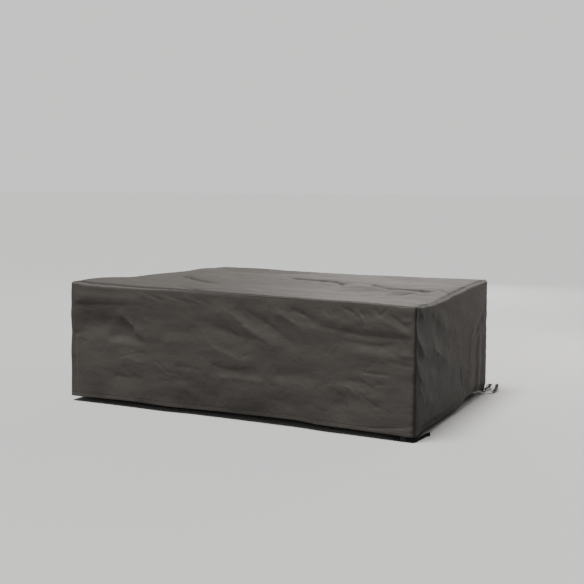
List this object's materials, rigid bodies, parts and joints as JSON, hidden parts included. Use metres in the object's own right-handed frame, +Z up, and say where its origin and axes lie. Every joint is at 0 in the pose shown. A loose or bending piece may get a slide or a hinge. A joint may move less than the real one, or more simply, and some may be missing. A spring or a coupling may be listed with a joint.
{
  "type": "patio furniture cover",
  "caption": "Fitted rectangular cover for garden furniture, open below, with a flat top, four hanging skirt panels, soft folds and webbing straps at its foot.",
  "frame": {"origin": "underside of the top panel at the cover's middle, where it rests on the furniture", "axes": "+Z up, X along the cover's long sides with +X at its right end, -Y towards its long front face"},
  "size_m": [2.2841, 1.5732, 0.7343],
  "materials": {
    "cloth": "matt coated polyester, dark taupe grey",
    "webbing": "black woven webbing",
    "plastic": "black moulded plastic"
  },
  "bodies": {
    "root": {"top_panel": "cloth", "front_panel": "cloth", "right_end_panel": "cloth", "back_panel": "cloth", "left_end_panel": "cloth", "strap_front_right_fixed": "webbing", "strap_front_right_adjusting": "webbing", "strap_back_right_arched": "webbing", "strap_back_right_lying": "webbing", "buckle_socket": "plastic", "buckle_plug": "plastic"}
  },
  "joints": []
}
